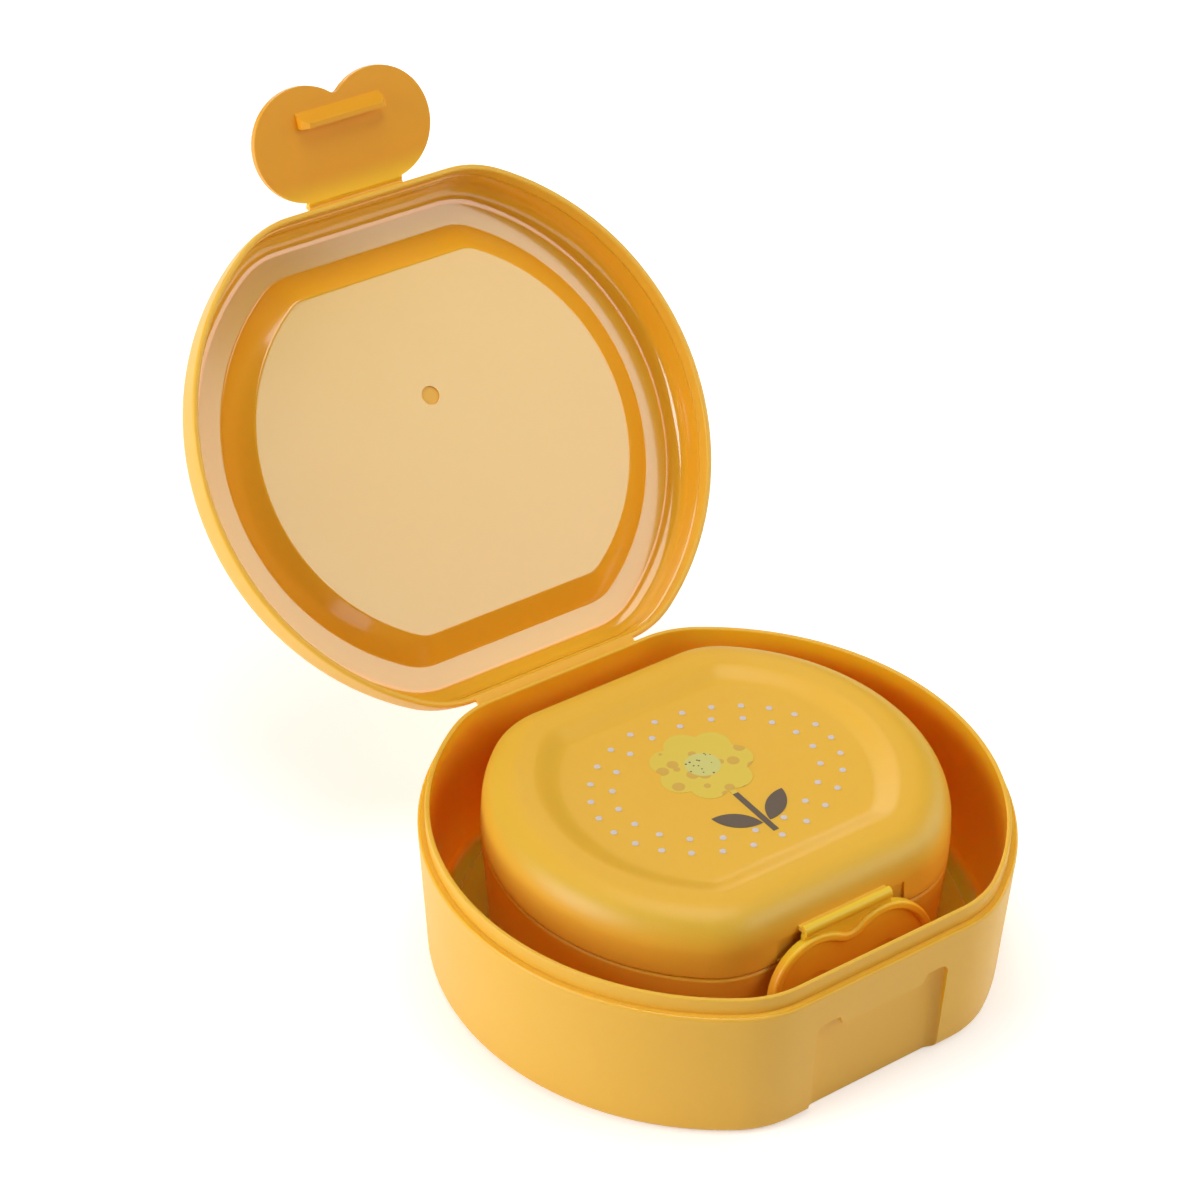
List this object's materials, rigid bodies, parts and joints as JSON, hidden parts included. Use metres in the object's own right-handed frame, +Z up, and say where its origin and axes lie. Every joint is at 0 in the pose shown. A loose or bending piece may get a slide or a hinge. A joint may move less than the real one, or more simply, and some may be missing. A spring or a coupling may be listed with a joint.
{
  "type": "toddler snack container",
  "caption": "Clip-lid snack box with a smaller box of the same design nested inside; domed lids on living hinges and two-lobed front latches.",
  "frame": {"origin": "centre of the large base's flat foot, on the surface that it stands on", "axes": "+Z up, -Y to the front with the latches, +Y to the back with the lid hinges, +X to the right seen from the front"},
  "size_m": [0.15, 0.2494, 0.1674],
  "materials": {
    "body_yellow": "satin moulded polypropylene",
    "latch_yellow": "satin moulded polypropylene",
    "hinge_yellow": "thin flexed polypropylene, smooth",
    "print_ink": "matt printed film"
  },
  "bodies": {
    "outer_box": {"outer_base": "body_yellow", "outer_lid_hinge_strip": "hinge_yellow"},
    "outer_lid": {"outer_lid": "body_yellow", "outer_latch_hinge_strip": "hinge_yellow"},
    "outer_latch": {"outer_latch": "latch_yellow"},
    "inner_box": {"inner_base": "body_yellow", "inner_lid_hinge_strip": "hinge_yellow"},
    "inner_lid": {"inner_lid": "body_yellow", "inner_latch_hinge_strip": "hinge_yellow", "inner_lid_print": "print_ink"},
    "inner_latch": {"inner_latch": "latch_yellow"}
  },
  "joints": [
    {"name": "outer_lid_turn", "type": "hinge", "parent": "outer_box", "child": "outer_lid", "pos_m": [0, 0.06986, 0.038], "axis": [-1, 0, 0], "range_deg": [-131, 49]},
    {"name": "outer_latch_turn", "type": "hinge", "parent": "outer_lid", "child": "outer_latch", "pos_m": [0, 0.16829, 0.1369], "axis": [-1, 0, 0], "range_deg": [-70, 65]},
    {"name": "inner_box_lift", "type": "slide", "parent": "outer_box", "child": "inner_box", "axis": [0, 0, 1], "range_m": [0, 0.06]},
    {"name": "inner_lid_turn", "type": "hinge", "parent": "inner_box", "child": "inner_lid", "pos_m": [0.003, 0.05774, 0.0307], "axis": [-1, 0, 0], "range_deg": [0, 40]},
    {"name": "inner_latch_turn", "type": "hinge", "parent": "inner_lid", "child": "inner_latch", "pos_m": [0.003, -0.04804, 0.0401], "axis": [-1, 0, 0], "range_deg": [-12, 9]}
  ]
}
